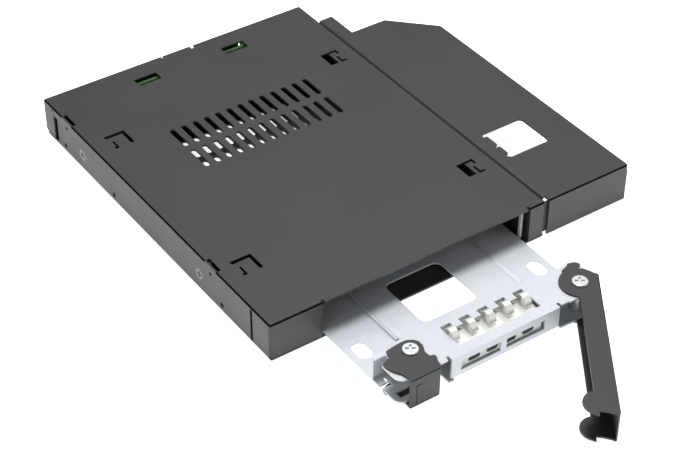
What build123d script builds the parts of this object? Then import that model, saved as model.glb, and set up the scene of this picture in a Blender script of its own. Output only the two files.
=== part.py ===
"""Hard drive mobile rack: a slim steel chassis with a side wing, and a tray that pulls out.

Millimetres. X runs to the right, Y to the rear and Z up, with the origin at the centre of
the chassis underside. Chassis sketches measure from its front left bottom corner, and tray
sketches from the same corner with the tray pushed home. The tray stands pulled out by
TRAY_OUT, with its lever swung open.
"""

import math
import os

from build123d import *

os.makedirs("parts", exist_ok=True)

# Whole rack
WIDTH = 128.0
DEPTH = 129.0
HEIGHT = 12.7
BODY_WIDTH = 96.2
SHEET = 0.6
BEND = 0.9
CORNER = 0.5

# Pose of the moving parts
TRAY_OUT = 37.0
LEVER_OPEN = 55.0

# Heights
COVER_Z = HEIGHT - SHEET
FLANGE_FOOT = 0.7
FLOOR_Z = 1.4
FLOOR_TOP = FLOOR_Z + SHEET
PLATE_TOP = 10.0
PLATE_Z = PLATE_TOP - SHEET
ARM_GAP = 0.05
ARM_LOW = FLOOR_Z - ARM_GAP - SHEET
ARM_TOP = PLATE_TOP + ARM_GAP + SHEET

# Opening of the front and the guides beside it
OPEN_LEFT = 17.3
OPEN_RIGHT = BODY_WIDTH - 5.7
GUIDE_RIGHT = OPEN_RIGHT - 2.15
SIDE_PLAY = 0.3

# Side walls
WALL_FRONT = 9.8
WALL_REAR = DEPTH - 6.0
REAR_WALL = DEPTH - 0.65
SIDE_HOLES = [(24.7, 2.6), (85.8, 2.6), (DEPTH - 12.8, 2.6)]
SIDE_HOLE_R = 0.8
DIMPLES = [(30.4, 10.0), (DEPTH - 14.6, 10.0)]
RAIL_SCREW_YS = [36.7, DEPTH - 24.0]
RAIL_SCREW_Z = 5.7
RAIL_SCREW_R = 1.85
RAIL_SHANK_R = 1.0
RAIL_SHANK = 6.0
RIVET_YS = [16.0, 62.0, DEPTH - 17.0]
RIVET_Z = 6.2
RIVET_R = 1.2

# Cover
VENT = (1.8, 9.6)
VENT_PITCH = 4.05
VENT_ROWS = 12.2
VENT_COUNT = 13
VENT_CENTRE = (48.75, DEPTH - 47.5)
LOW_VENT_CENTRE = (48.75, DEPTH - 40.3)
EDGE_NOTCHES = [27.3, DEPTH - 17.7]
NOTCH = (1.8, 6.2)
TONGUE_FRONTS = [22.1, DEPTH - 35.2]
TONGUE = 6.7
LEFT_TONGUE = (5.7, 12.2)
RIGHT_TONGUE = (OPEN_RIGHT - 2.6, OPEN_RIGHT + 0.7)
RIGHT_SLOT_LEFT = OPEN_RIGHT - 5.4
REAR_WINDOWS = [(28.5, 36.5), (60.8, 69.0)]
REAR_WINDOW_YS = (DEPTH - 10.6, DEPTH - 6.7)
REAR_TAB = (42.9, 53.1)

# Side wing
SEAM = BODY_WIDTH + 0.1
SEAM_BEND = 1.3
SEAM_FRONT = 2.4
SEAM_REAR = DEPTH - 11.2
WING_OUTLINE = [
    (SEAM + SEAM_BEND, 0),
    (WIDTH, 0),
    (WIDTH, DEPTH - 36.3),
    (SEAM + 18.5, DEPTH - 23.0),
    (SEAM + 5.3, DEPTH - 23.0),
    (SEAM + 5.3, SEAM_REAR),
    (SEAM + SEAM_BEND, SEAM_REAR),
]
CUT_OUT = (SEAM + 12.4, 29.9)
CUT_OUT_SIZE = (15.6, 14.0)
CUT_OUT_LUGS = [(SEAM + 5.1, 26.9, 4.4), (SEAM + 5.1, 32.6, 5.4)]

# Backplane and connectors
BOARD_Y = DEPTH - 8.4
BOARD = 1.2
BOARD_LEFT = 15.5
BOARD_RIGHT = BODY_WIDTH - 3.2
SOCKET_LEFT = 27.5
SOCKET_RIGHT = 70.0
SOCKET_DEPTH = 7.2
SOCKET_ZS = (2.6, 7.4)
SOCKET_GAP = (53.6, 55.4)
SOCKET_WALL = 1.6
PLUG_RIGHT = BOARD_RIGHT - 0.5
PLUG_LEFT = PLUG_RIGHT - 20.5
PLUG_DEPTH = 7.0
PLUG_ZS = (1.4, 7.4)
PLUG_LIP = 1.0
PLUG_TONGUES = (8.4, 10.2)
PLUG_TONGUE = 1.0

# Tray
TRAY_LEFT = OPEN_LEFT + SIDE_PLAY
TRAY_RIGHT = GUIDE_RIGHT - SIDE_PLAY
TRAY_REAR = BOARD_Y - 8.6
TRAY_FRONT = 9.8
LOBE_FRONT = 1.9
FOOT_FRONT = 1.3
DRIVE_SLOTS_FRONT = 24.8
DRIVE_SLOTS_PITCH = 76.6
DRIVE_SLOTS_WIDTH = 61.8
DRIVE_SLOT_LEFT = 22.0
DRIVE_SLOT = (4.6, 6.9)
WINDOW = (19.4, 19.6)
WINDOW_CENTRE = (52.3, 33.85)
BEADS = [(32.5, 3.6), (75.5, 2.0)]
BEAD_LENGTH = 83.4
BEAD_Y = 64.0
WALL_Y = 13.6
SHELF_Y = 8.0
SHELF = (36.0, 70.0)
FINGER_PITCH = 6.23
FINGER = 3.2
FINGER_FIRST = 39.5
FINGER_COUNT = 5
SPRING_SHEET = 0.25

# Pivots, with the tray pushed home
LEVER_PIVOT = (TRAY_RIGHT - 5.55, 5.65)
LATCH_PIVOT = (27.1, 10.0)
POST_R = 2.6
PIN_R = 1.6
PIN_FIT = 0.05
SCREW_R = 0.8
HEAD_R = 2.4
HEAD = 0.55

# Lever, measured from its pivot with the lever shut
LEVER_WEB = -LEVER_PIVOT[1]
ARMS_MEET = 30.2
LEVER_END = ARMS_MEET - LEVER_PIVOT[0]
LEVER_HEEL = 4.0
LEVER_INNER = 0.6
LEVER_DISC_R = 6.0
LEVER_LOBE = (LEVER_END + 4.55, -0.4)
LEVER_LOBE_R = 4.4
LEVER_TAB = [
    (2.0, 2.0),
    (4.2, 4.3),
    (5.0, 4.6),
    (7.0, 3.0),
    (8.1, 2.9),
    (8.6, 1.2),
    (8.3, -0.7),
    (7.6, -0.8),
    (6.4, -0.2),
    (5.0, -0.6),
]
LEVER_BITE = [
    (LEVER_END - 1.4, -0.1),
    (LEVER_END + 1.6, -0.1),
    (LEVER_END + 1.3, -2.1),
    (LEVER_END + 0.9, -3.3),
    (LEVER_END + 0.5, -4.4),
    (LEVER_END - 0.1, -5.3),
    (LEVER_END - 1.4, -5.3),
]

# Latch, measured like the tray
LATCH_OUTLINE = [
    (19.9, 0.0),
    (29.8, 0.0),
    (30.4, 2.0),
    (31.3, 3.8),
    (31.4, 4.9),
    (30.0, 5.3),
    (29.9, 7.2),
    (31.0, 9.6),
    (31.0, 11.6),
    (30.1, 12.9),
    (28.4, 13.8),
    (26.3, 13.9),
    (23.6, 13.6),
    (21.5, 13.3),
    (21.0, 11.8),
    (21.2, 10.5),
    (20.2, 10.6),
    (17.8, 9.6),
    (17.7, 8.2),
    (18.4, 5.8),
    (19.6, 3.9),
    (20.1, 2.0),
]
LATCH_GROOVE = 0.3
LATCH_GROOVE_LEFT = 21.9
LATCH_GROOVE_TOP = 8.1


def level(z):
    """Horizontal plane of the chassis at height z."""
    return Plane(origin=(-WIDTH / 2, -DEPTH / 2, z))


def across(y):
    """Upright plane of the chassis at depth y that faces the front."""
    return Plane(origin=(-WIDTH / 2, y - DEPTH / 2, 0), x_dir=(1, 0, 0), z_dir=(0, -1, 0))


def along(x):
    """Upright plane of the chassis at width x that faces the right."""
    return Plane(origin=(x - WIDTH / 2, -DEPTH / 2, 0), x_dir=(0, 1, 0), z_dir=(1, 0, 0))


def tray_level(z):
    """Horizontal plane of the tray at height z."""
    return Plane(origin=(-WIDTH / 2, -DEPTH / 2 - TRAY_OUT, z))


def tray_across(y):
    """Upright plane of the tray at depth y that faces the front."""
    return across(y - TRAY_OUT)


def tray_along(x):
    """Upright plane of the tray at width x that faces the right."""
    return Plane(
        origin=(x - WIDTH / 2, -DEPTH / 2 - TRAY_OUT, 0), x_dir=(0, 1, 0), z_dir=(1, 0, 0)
    )


def post_level(pivot, z):
    """Horizontal plane of the tray centred on a pivot at height z."""
    return Plane(origin=(pivot[0] - WIDTH / 2, pivot[1] - DEPTH / 2 - TRAY_OUT, z))


def lever_level(z):
    """Horizontal plane at the lever's pivot, turned as far as the lever stands open."""
    turn = math.radians(LEVER_OPEN)
    return Plane(
        origin=post_level(LEVER_PIVOT, z).origin,
        x_dir=(math.cos(turn), math.sin(turn), 0),
    )


def panel(x0, x1, y0, y1, mode=Mode.ADD):
    """Rectangle between two corners in the open sketch."""
    with Locations(((x0 + x1) / 2, (y0 + y1) / 2)):
        Rectangle(x1 - x0, y1 - y0, mode=mode)


# Bottom, side walls and rear wall of the chassis
with BuildPart() as chassis_base:
    with BuildSketch(across(0)):
        with BuildLine():
            FilletPolyline(
                (0, COVER_Z), (0, 0), (BODY_WIDTH, 0), (BODY_WIDTH, COVER_Z), radius=BEND
            )
            offset(amount=SHEET, side=Side.LEFT)
        make_face()
    extrude(amount=-REAR_WALL)
    with BuildSketch(along(0)):
        panel(-1, WALL_FRONT, SHEET, HEIGHT)
    extrude(amount=BODY_WIDTH, mode=Mode.SUBTRACT)
    with BuildSketch(along(0)):
        panel(WALL_REAR, DEPTH, SHEET, HEIGHT)
        panel(WALL_REAR - 2.3, WALL_REAR, 1.3, 10.0)
        with Locations(*SIDE_HOLES):
            Circle(SIDE_HOLE_R)
    extrude(amount=SHEET, mode=Mode.SUBTRACT)
    with BuildSketch(along(0)):
        with Locations(*DIMPLES):
            Circle(0.6)
    extrude(amount=SHEET / 2, mode=Mode.SUBTRACT)
    with BuildSketch(along(0)):
        with Locations(*[(y, RAIL_SCREW_Z) for y in RAIL_SCREW_YS]):
            Circle(RAIL_SCREW_R)
    extrude(amount=SHEET, taper=45, mode=Mode.SUBTRACT)
    with BuildSketch(along(BODY_WIDTH)):
        with Locations(*[(y, RAIL_SCREW_Z) for y in RAIL_SCREW_YS]):
            Circle(RAIL_SCREW_R)
    extrude(amount=-SHEET, taper=45, mode=Mode.SUBTRACT)
    with BuildSketch(along(BODY_WIDTH - SHEET)):
        with Locations(*[(y, RIVET_Z) for y in RIVET_YS]):
            Circle(RIVET_R)
    extrude(amount=SHEET, mode=Mode.SUBTRACT)
    with BuildSketch(level(SHEET)):
        panel(1.2, PLUG_LEFT - 1, REAR_WALL - SHEET, REAR_WALL)
    extrude(amount=COVER_Z - SHEET)
    with BuildSketch(level(COVER_Z)):
        for notch_y in EDGE_NOTCHES:
            panel(0, NOTCH[0] - 0.2, notch_y + 0.1, notch_y + NOTCH[1] - 0.1)
    extrude(amount=SHEET)
    with BuildSketch(level(0)):
        with Locations(LOW_VENT_CENTRE):
            with GridLocations(VENT_PITCH, VENT_ROWS, VENT_COUNT, 2):
                SlotOverall(VENT[1], VENT[0], rotation=90)
    extrude(amount=SHEET, mode=Mode.SUBTRACT)
chassis_base.part.label = "chassis_base"
export_step(chassis_base.part, "parts/chassis_base.step")

# Cover with its folded front flanges, vents and pressed tongues
with BuildPart() as top_cover:
    with BuildSketch(level(COVER_Z)) as cover_plan:
        panel(0, BODY_WIDTH, 0, DEPTH)
        fillet(cover_plan.vertices().sort_by(Axis.Y)[:2], BEND)
        panel(OPEN_LEFT, OPEN_LEFT + 0.9, 0, 1.2, mode=Mode.SUBTRACT)
        panel(OPEN_RIGHT - 0.9, OPEN_RIGHT, 0, 1.2, mode=Mode.SUBTRACT)
        for notch_y in EDGE_NOTCHES:
            panel(0, NOTCH[0], notch_y, notch_y + NOTCH[1], mode=Mode.SUBTRACT)
        panel(REAR_TAB[0] - 0.6, REAR_TAB[0], DEPTH - 1.4, DEPTH, mode=Mode.SUBTRACT)
        panel(REAR_TAB[1], REAR_TAB[1] + 1.3, DEPTH - 1.4, DEPTH, mode=Mode.SUBTRACT)
        for window in REAR_WINDOWS:
            panel(*window, *REAR_WINDOW_YS, mode=Mode.SUBTRACT)
        for front in TONGUE_FRONTS:
            back = front + TONGUE
            left, right = LEFT_TONGUE
            panel(left, right, back - 0.9, back, mode=Mode.SUBTRACT)
            panel(right - 0.7, right, front, back, mode=Mode.SUBTRACT)
            panel(left + 1.0, left + 1.3, front + 0.3, front + 3.4, mode=Mode.SUBTRACT)
            panel(left + 0.1, left + 1.3, front - 0.1, front + 0.4, mode=Mode.SUBTRACT)
            left, right = RIGHT_TONGUE
            panel(RIGHT_SLOT_LEFT, left, front, back, mode=Mode.SUBTRACT)
            panel(left, right, back - 0.7, back, mode=Mode.SUBTRACT)
            panel(right - 0.6, right, back - 2.2, back, mode=Mode.SUBTRACT)
            panel(left + 1.3, left + 1.6, front + 0.2, front + 3.3, mode=Mode.SUBTRACT)
            panel(left + 1.3, right - 0.1, front - 0.1, front + 0.3, mode=Mode.SUBTRACT)
        with Locations(VENT_CENTRE):
            with GridLocations(VENT_PITCH, VENT_ROWS, VENT_COUNT, 2):
                SlotOverall(VENT[1], VENT[0], rotation=90, mode=Mode.SUBTRACT)
    extrude(amount=SHEET)
    with BuildSketch(level(FLANGE_FOOT)):
        with BuildLine():
            FilletPolyline((OPEN_LEFT, 0), (0, 0), (0, 8.7), radius=BEND)
            offset(amount=SHEET, side=Side.RIGHT)
        make_face()
    extrude(amount=COVER_Z - FLANGE_FOOT)
    with BuildSketch(level(FLANGE_FOOT)):
        with BuildLine():
            FilletPolyline((OPEN_RIGHT, 0), (BODY_WIDTH, 0), (BODY_WIDTH, 9.3), radius=BEND)
            offset(amount=SHEET, side=Side.LEFT)
        make_face()
    extrude(amount=COVER_Z - FLANGE_FOOT)
    with BuildSketch(along(0)) as wrap:
        panel(WALL_REAR + 0.1, DEPTH, 1.2, COVER_Z)
        fillet(wrap.vertices().sort_by(Axis.Z)[:2], 1.5)
    extrude(amount=SHEET)
    with BuildSketch(across(DEPTH)):
        panel(*REAR_TAB, 9.6, COVER_Z)
    extrude(amount=SHEET)
top_cover.part.label = "top_cover"
export_step(top_cover.part, "parts/top_cover.step")

# Wing at the right of the chassis
with BuildPart() as side_wing:
    with BuildSketch(level(COVER_Z)) as wing_plan:
        with BuildLine():
            Polyline(*WING_OUTLINE, close=True)
        make_face()
        with Locations(CUT_OUT):
            RectangleRounded(*CUT_OUT_SIZE, 1.5, mode=Mode.SUBTRACT)
        for lug_x, lug_y, lug_length in CUT_OUT_LUGS:
            with Locations((lug_x, lug_y)):
                RectangleRounded(1.5, lug_length, 0.6)
    extrude(amount=SHEET)
    with BuildSketch(across(SEAM_FRONT)):
        with BuildLine():
            FilletPolyline(
                (SEAM, FLANGE_FOOT), (SEAM, HEIGHT), (SEAM + 3.0, HEIGHT), radius=SEAM_BEND
            )
            offset(amount=SHEET, side=Side.RIGHT)
        make_face()
    extrude(amount=SEAM_FRONT - SEAM_REAR)
    with BuildSketch(across(0)) as wing_front:
        panel(SEAM + SEAM_BEND, WIDTH, 0, COVER_Z)
        chamfer(wing_front.vertices().sort_by(Axis.X)[-2:].sort_by(Axis.Z)[0], 1.2)
    extrude(amount=-SHEET)
    with BuildSketch(along(SEAM)):
        with Locations(*[(y, RIVET_Z) for y in RIVET_YS]):
            Circle(RIVET_R)
    extrude(amount=SHEET, mode=Mode.SUBTRACT)
    fillet(side_wing.edges().group_by(Axis.Y)[0].group_by(Axis.Z)[-1], CORNER)
side_wing.part.label = "side_wing"
export_step(side_wing.part, "parts/side_wing.step")

# Plastic guides at both sides of the tray
RAIL_INNER = 14.0
RAIL_OUTER = BODY_WIDTH - 1.3
RAIL_FRONT = 0.7
RAIL_TOP = COVER_Z - 0.35
LEDGE = 0.7
LEDGE_FRONT = 15.5
BOSS = 9.0

with BuildPart() as left_guide_rail:
    with BuildSketch(level(SHEET)):
        panel(RAIL_INNER, OPEN_LEFT, RAIL_FRONT, WALL_REAR)
        panel(BOARD_LEFT, OPEN_LEFT, BOARD_Y, BOARD_Y + BOARD, mode=Mode.SUBTRACT)
    extrude(amount=COVER_Z - SHEET)
    with BuildSketch(level(BEND)):
        for screw_y in RAIL_SCREW_YS:
            panel(SHEET, RAIL_INNER, screw_y - BOSS / 2, screw_y + BOSS / 2)
    extrude(amount=RAIL_TOP - BEND)
    with BuildSketch(level(SHEET)):
        panel(OPEN_LEFT, OPEN_LEFT + 1.8, LEDGE_FRONT, TRAY_REAR)
    extrude(amount=LEDGE)
    with BuildSketch(along(SHEET)):
        with Locations(*[(y, RAIL_SCREW_Z) for y in RAIL_SCREW_YS]):
            Circle(RAIL_SHANK_R)
    extrude(amount=RAIL_SHANK, mode=Mode.SUBTRACT)
left_guide_rail.part.label = "left_guide_rail"
export_step(left_guide_rail.part, "parts/left_guide_rail.step")

STATUS = (OPEN_RIGHT - 1.0, OPEN_RIGHT, 3.4, 28.0)
STATUS_Z = (1.9, 9.7)
RECESS = (4.3, 13.5, OPEN_RIGHT + 0.7)

with BuildPart() as right_guide_rail:
    with BuildSketch(level(SHEET)):
        panel(GUIDE_RIGHT, RAIL_OUTER, RECESS[1], WALL_REAR)
        panel(RECESS[2], RAIL_OUTER, RECESS[0], RECESS[1])
        panel(OPEN_RIGHT, RAIL_OUTER, RAIL_FRONT, RECESS[0])
        panel(GUIDE_RIGHT, BOARD_RIGHT, BOARD_Y, WALL_REAR, mode=Mode.SUBTRACT)
    extrude(amount=RAIL_TOP - SHEET)
    with BuildSketch(level(BEND)):
        for screw_y in RAIL_SCREW_YS:
            panel(RAIL_OUTER, BODY_WIDTH - SHEET, screw_y - BOSS / 2, screw_y + BOSS / 2)
    extrude(amount=RAIL_TOP - BEND)
    with BuildSketch(level(SHEET)):
        panel(GUIDE_RIGHT - 1.8, GUIDE_RIGHT, LEDGE_FRONT, TRAY_REAR)
    extrude(amount=LEDGE)
    with BuildSketch(level(STATUS_Z[0])):
        panel(*STATUS)
    extrude(amount=STATUS_Z[1] - STATUS_Z[0], mode=Mode.SUBTRACT)
    with BuildSketch(along(BODY_WIDTH - SHEET)):
        with Locations(*[(y, RAIL_SCREW_Z) for y in RAIL_SCREW_YS]):
            Circle(RAIL_SHANK_R)
    extrude(amount=-RAIL_SHANK, mode=Mode.SUBTRACT)
right_guide_rail.part.label = "right_guide_rail"
export_step(right_guide_rail.part, "parts/right_guide_rail.step")

# Screws that hold the guides, heads flush in the side walls
with BuildPart() as rail_screws:
    with BuildSketch(along(0)):
        with Locations(*[(y, RAIL_SCREW_Z) for y in RAIL_SCREW_YS]):
            Circle(RAIL_SCREW_R)
    extrude(amount=SHEET, taper=45)
    with BuildSketch(along(BODY_WIDTH)):
        with Locations(*[(y, RAIL_SCREW_Z) for y in RAIL_SCREW_YS]):
            Circle(RAIL_SCREW_R)
    extrude(amount=-SHEET, taper=45)
    with BuildSketch(along(SHEET)):
        with Locations(*[(y, RAIL_SCREW_Z) for y in RAIL_SCREW_YS]):
            Circle(RAIL_SHANK_R)
    extrude(amount=RAIL_SHANK - 0.5)
    with BuildSketch(along(BODY_WIDTH - SHEET)):
        with Locations(*[(y, RAIL_SCREW_Z) for y in RAIL_SCREW_YS]):
            Circle(RAIL_SHANK_R)
    extrude(amount=-RAIL_SHANK + 0.5)
    with BuildSketch(along(0)):
        with Locations(*[(y, RAIL_SCREW_Z) for y in RAIL_SCREW_YS]):
            Rectangle(2.2, 0.45)
            Rectangle(0.45, 2.2)
    extrude(amount=0.4, mode=Mode.SUBTRACT)
rail_screws.part.label = "rail_screws"
export_step(rail_screws.part, "parts/rail_screws.step")

# Rivets that join the wing to the chassis
with BuildPart() as wing_rivets:
    with BuildSketch(along(BODY_WIDTH - SHEET)):
        with Locations(*[(y, RIVET_Z) for y in RIVET_YS]):
            Circle(RIVET_R)
    extrude(amount=SEAM + SHEET - BODY_WIDTH + SHEET)
    with BuildSketch(along(SEAM + SHEET)):
        with Locations(*[(y, RIVET_Z) for y in RIVET_YS]):
            Circle(1.5 * RIVET_R)
    extrude(amount=0.7, taper=30)
    with BuildSketch(along(BODY_WIDTH - SHEET)):
        with Locations(*[(y, RIVET_Z) for y in RIVET_YS]):
            Circle(1.3 * RIVET_R)
    extrude(amount=RAIL_OUTER + 0.1 - BODY_WIDTH + SHEET)
wing_rivets.part.label = "wing_rivets"
export_step(wing_rivets.part, "parts/wing_rivets.step")

# Backplane with its two connectors
with BuildPart() as backplane_board:
    with BuildSketch(across(BOARD_Y)):
        panel(BOARD_LEFT, BOARD_RIGHT, SHEET + 0.2, COVER_Z - 0.5)
    extrude(amount=-BOARD)
backplane_board.part.label = "backplane_board"
export_step(backplane_board.part, "parts/backplane_board.step")

SOCKET_FRONT = BOARD_Y - SOCKET_DEPTH
SOCKET_MID_Z = sum(SOCKET_ZS) / 2

with BuildPart() as drive_connector:
    with BuildSketch(across(BOARD_Y)) as socket_face:
        panel(SOCKET_LEFT, SOCKET_RIGHT, *SOCKET_ZS)
        fillet(socket_face.vertices(), 0.5)
    extrude(amount=SOCKET_DEPTH)
    with BuildSketch(across(SOCKET_FRONT)):
        panel(SOCKET_LEFT + SOCKET_WALL, SOCKET_GAP[0], SOCKET_MID_Z - 1.1, SOCKET_MID_Z + 1.1)
        panel(SOCKET_GAP[1], SOCKET_RIGHT - SOCKET_WALL, SOCKET_MID_Z - 1.1, SOCKET_MID_Z + 1.1)
    extrude(amount=-5.0, mode=Mode.SUBTRACT)
drive_connector.part.label = "drive_connector"
export_step(drive_connector.part, "parts/drive_connector.step")

PLUG_REAR = BOARD_Y + BOARD + PLUG_DEPTH
PLUG_MID_Z = sum(PLUG_ZS) / 2

with BuildPart() as host_connector:
    with BuildSketch(across(BOARD_Y + BOARD)) as plug_face:
        panel(PLUG_LEFT, PLUG_RIGHT, *PLUG_ZS)
        fillet(plug_face.vertices(), 0.5)
    extrude(amount=-PLUG_DEPTH)
    with BuildSketch(across(PLUG_REAR)):
        panel(
            PLUG_LEFT + PLUG_LIP,
            PLUG_RIGHT - PLUG_LIP,
            PLUG_ZS[0] + PLUG_LIP,
            PLUG_ZS[1] - PLUG_LIP,
        )
        panel(
            PLUG_LEFT + 2 * PLUG_LIP,
            PLUG_LEFT + PLUG_TONGUES[0],
            PLUG_MID_Z - PLUG_TONGUE / 2,
            PLUG_MID_Z + PLUG_TONGUE / 2,
            mode=Mode.SUBTRACT,
        )
        panel(
            PLUG_LEFT + PLUG_TONGUES[1],
            PLUG_RIGHT - 2 * PLUG_LIP,
            PLUG_MID_Z - PLUG_TONGUE / 2,
            PLUG_MID_Z + PLUG_TONGUE / 2,
            mode=Mode.SUBTRACT,
        )
    extrude(amount=PLUG_DEPTH - 2.0, mode=Mode.SUBTRACT)
host_connector.part.label = "host_connector"
export_step(host_connector.part, "parts/host_connector.step")

# Light guide and the small board behind it, at the right of the opening
with BuildPart() as light_guide:
    with BuildSketch(level(SHEET)):
        panel(STATUS[0] - 0.4, OPEN_RIGHT, 2.4, STATUS[2])
    extrude(amount=COVER_Z - SHEET)
light_guide.part.label = "light_guide"
export_step(light_guide.part, "parts/light_guide.step")

with BuildPart() as status_board:
    with BuildSketch(level(STATUS_Z[0])):
        panel(*STATUS)
    extrude(amount=STATUS_Z[1] - STATUS_Z[0])
status_board.part.label = "status_board"
export_step(status_board.part, "parts/status_board.step")


LOBE_R = 4.4
LOBE_LEFT = LEVER_PIVOT[0] - 7.1
FRONT_WALL = (34.4, LEVER_PIVOT[0] - 10.8)
FRONT_WALL_Y = 1.1
FRONT_WALL_Z = 3.2
FRONT_SLOT = (13.4, 3.2)
FRONT_SLOT_PITCH = 15.5
FRONT_SLOTS_MID = (52.15, 6.2)
FINGERS_MID = FINGER_FIRST + FINGER / 2 + FINGER_PITCH * (FINGER_COUNT - 1) / 2


def front_lobes():
    """Outline of both front lobes, which carry the pivots of the latch and the lever."""
    with BuildSketch(mode=Mode.PRIVATE) as lobes:
        panel(TRAY_LEFT, 31.0, LOBE_FRONT, WALL_Y)
        fillet(lobes.vertices().sort_by(Axis.Y)[:2], 3.0)
        with Locations(LEVER_PIVOT):
            Circle(LOBE_R)
        panel(LOBE_LEFT, LEVER_PIVOT[0], FOOT_FRONT, WALL_Y)
        panel(LEVER_PIVOT[0], LEVER_PIVOT[0] + LOBE_R, LEVER_PIVOT[1], WALL_Y)
        panel(LEVER_PIVOT[0] + LOBE_R, TRAY_RIGHT, 9.3, WALL_Y)
    add(lobes.sketch)


# Floor of the tray with the drive's screw slots
with BuildPart() as tray_floor:
    with BuildSketch(tray_level(FLOOR_Z)):
        panel(TRAY_LEFT, TRAY_RIGHT, TRAY_FRONT, TRAY_REAR)
        front_lobes()
        panel(FRONT_WALL[0] - 0.4, LOBE_LEFT, 2.4, TRAY_FRONT)
        panel(FRONT_WALL[0] - 0.4, FRONT_WALL[0] + 1.3, FOOT_FRONT, 3.0)
        panel(FRONT_WALL[1] + 1.0, LOBE_LEFT, FOOT_FRONT, 3.0)
        panel(TRAY_LEFT, 20.9, 9.4, 10.7, mode=Mode.SUBTRACT)
        panel(20.1, 20.9, 9.4, 12.7, mode=Mode.SUBTRACT)
        panel(19.6, 24.5, 3.8, 6.0, mode=Mode.SUBTRACT)
        with Locations(WINDOW_CENTRE):
            RectangleRounded(*WINDOW, 2.5, mode=Mode.SUBTRACT)
        for slot_x in (DRIVE_SLOT_LEFT, DRIVE_SLOT_LEFT + DRIVE_SLOTS_WIDTH):
            for slot_y in (DRIVE_SLOTS_FRONT, DRIVE_SLOTS_FRONT + DRIVE_SLOTS_PITCH):
                with Locations((slot_x, slot_y)):
                    SlotOverall(DRIVE_SLOT[1], DRIVE_SLOT[0], rotation=90, mode=Mode.SUBTRACT)
        with Locations(LEVER_PIVOT, LATCH_PIVOT):
            Circle(PIN_R, mode=Mode.SUBTRACT)
    extrude(amount=SHEET)
    with BuildSketch(tray_level(FLOOR_TOP)):
        for bead_x, bead_width in BEADS:
            with Locations((bead_x, BEAD_Y)):
                SlotOverall(BEAD_LENGTH, bead_width, rotation=90)
    extrude(amount=-SHEET / 2, mode=Mode.SUBTRACT)
    with BuildSketch(tray_level(FLOOR_Z)):
        for bead_x, bead_width in BEADS:
            with Locations((bead_x, BEAD_Y)):
                SlotOverall(BEAD_LENGTH, bead_width + SHEET, rotation=90)
    extrude(amount=-SHEET / 2)
tray_floor.part.label = "tray_floor"
export_step(tray_floor.part, "parts/tray_floor.step")

# Bracket over the front of the tray
with BuildPart() as front_bracket:
    with BuildSketch(tray_level(PLATE_Z)):
        front_lobes()
        panel(TRAY_LEFT, TRAY_RIGHT, TRAY_FRONT, WALL_Y + SHEET)
        panel(31.0, LOBE_LEFT, FRONT_WALL_Y + SHEET, TRAY_FRONT)
        panel(*FRONT_WALL, FRONT_WALL_Y, FRONT_WALL_Y + SHEET)
        panel(FRONT_WALL[0] - 0.9, FRONT_WALL[0], FRONT_WALL_Y, 3.0, mode=Mode.SUBTRACT)
        panel(FRONT_WALL[1], FRONT_WALL[1] + 0.9, FRONT_WALL_Y, 3.0, mode=Mode.SUBTRACT)
        panel(TRAY_LEFT, 20.9, TRAY_FRONT - 0.2, 12.6, mode=Mode.SUBTRACT)
        with Locations((FINGERS_MID, 9.0)):
            with GridLocations(FINGER_PITCH, 0, FINGER_COUNT, 1):
                Rectangle(FINGER + 0.2, 8.6, mode=Mode.SUBTRACT)
            Rectangle(FINGER_PITCH * (FINGER_COUNT - 1), 8.6, mode=Mode.SUBTRACT)
        with Locations((FINGERS_MID, 11.2)):
            with GridLocations(FINGER_PITCH, 0, FINGER_COUNT - 1, 1):
                Rectangle(FINGER_PITCH - FINGER - 0.2, 5.2)
        with Locations(LEVER_PIVOT, LATCH_PIVOT):
            Circle(PIN_R, mode=Mode.SUBTRACT)
    extrude(amount=SHEET)
    with BuildSketch(tray_across(WALL_Y)):
        panel(TRAY_LEFT, TRAY_RIGHT, FLOOR_TOP, PLATE_TOP)
    extrude(amount=-SHEET)
    with BuildSketch(tray_level(FLOOR_TOP)):
        panel(*SHELF, SHELF_Y, WALL_Y)
    extrude(amount=SHEET)
    with BuildSketch(tray_across(FRONT_WALL_Y)):
        panel(*FRONT_WALL, FRONT_WALL_Z, PLATE_TOP)
        with Locations(FRONT_SLOTS_MID):
            with GridLocations(FRONT_SLOT_PITCH, 0, 2, 1):
                Rectangle(*FRONT_SLOT, mode=Mode.SUBTRACT)
    extrude(amount=-SHEET)
front_bracket.part.label = "front_bracket"
export_step(front_bracket.part, "parts/front_bracket.step")

# Grounding spring, whose fingers stand through the bracket's plate
SPRING_LEG_Y = 4.0
SPRING_BAND_Z = 8.1
FINGER_NOSE_Y = 6.55
FINGER_RUN = [
    (SPRING_LEG_Y, FLOOR_TOP),
    (SPRING_LEG_Y, SPRING_BAND_Z),
    (WALL_Y, SPRING_BAND_Z),
    (WALL_Y, SPRING_BAND_Z + 0.8),
    (12.8, 10.0),
    (10.0, 11.35),
    (8.3, 11.87),
    (FINGER_NOSE_Y + 0.25, 11.5),
    (FINGER_NOSE_Y, 10.6),
    (FINGER_NOSE_Y + 0.2, 9.3),
]
SPRING_WIDTH = FINGER_PITCH * (FINGER_COUNT - 1) + FINGER
SPRING_WINDOW = (4.1, 3.4)
SPRING_FOOT = 1.4

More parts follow.
